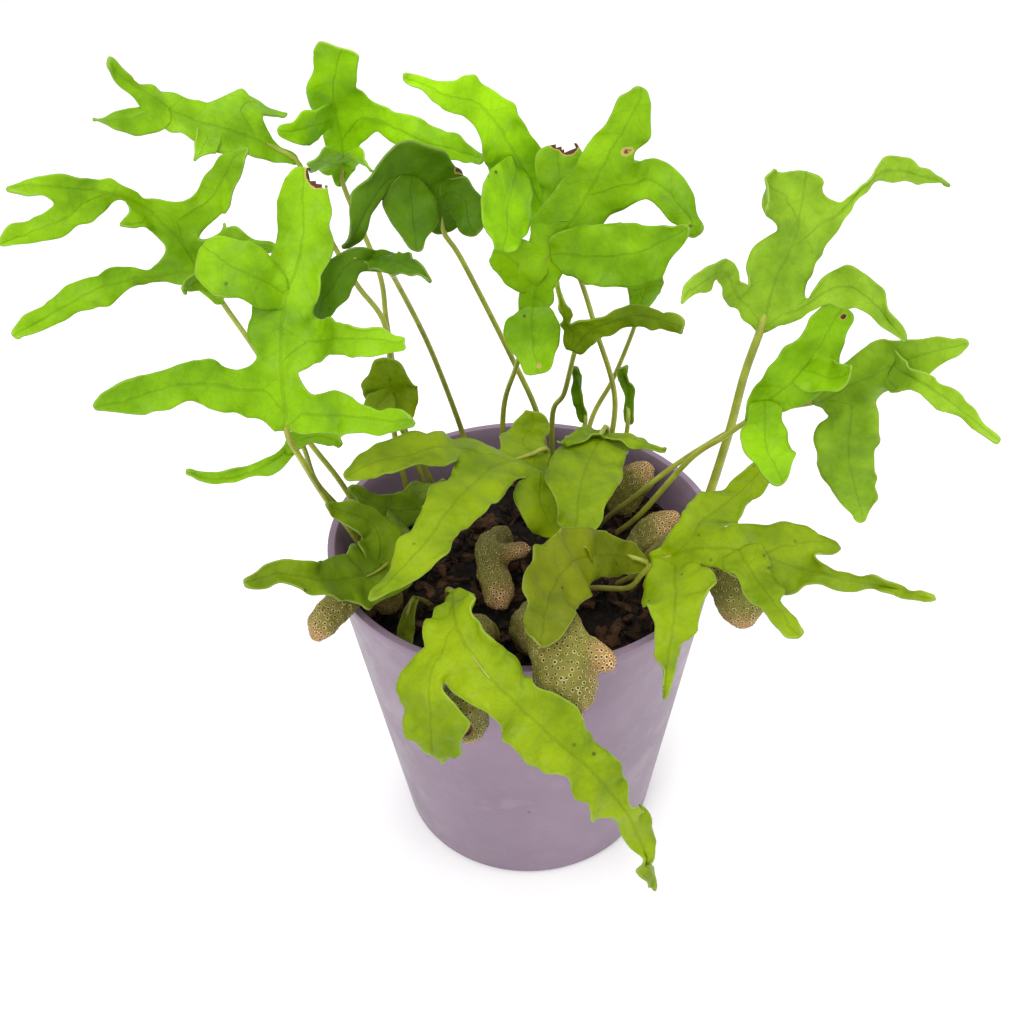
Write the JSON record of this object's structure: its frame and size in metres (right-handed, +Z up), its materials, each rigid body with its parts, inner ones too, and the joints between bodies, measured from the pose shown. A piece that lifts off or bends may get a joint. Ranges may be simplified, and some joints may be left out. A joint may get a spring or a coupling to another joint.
{
  "type": "potted ant fern",
  "caption": "Small ant fern with lobed, wavy fronds on thin stipes and swollen rhizomes creeping over the rim of a round tapered nursery pot.",
  "frame": {"origin": "middle of the pot's flat underside", "axes": "+Z up along the pot's axis, -Y towards the viewer of the picture, +X to the viewer's right"},
  "size_m": [0.2173, 0.1338, 0.2176],
  "materials": {
    "pot": "dull mauve-grey plastic",
    "potting_mix": "damp dark crumbs with brown bits",
    "rhizome": "olive skin with fine dark round scales, paler tips",
    "frond": "soft satin leaf, pale margin, thin dark veins, translucent"
  },
  "bodies": {
    "root": {"pot": "pot", "potting_mix": "potting_mix", "rhizome_front": "rhizome", "rhizome_front_left": "rhizome", "rhizome_left": "rhizome", "rhizome_right": "rhizome", "rhizome_right_inner": "rhizome", "rhizome_back_right": "rhizome", "rhizome_centre": "rhizome", "rhizome_left_inner": "rhizome", "frond_01": "frond", "frond_02": "frond", "frond_03": "frond", "frond_04": "frond", "frond_05": "frond", "frond_06": "frond", "frond_07": "frond", "frond_08": "frond", "frond_09": "frond", "frond_10": "frond", "frond_11": "frond", "frond_12": "frond", "frond_13": "frond", "frond_14": "frond", "frond_15": "frond", "frond_16": "frond", "frond_17": "frond", "frond_18": "frond", "frond_19": "frond", "frond_20": "frond", "frond_21": "frond", "frond_22": "frond", "frond_23": "frond", "frond_24": "frond", "frond_25": "frond"}
  },
  "joints": []
}
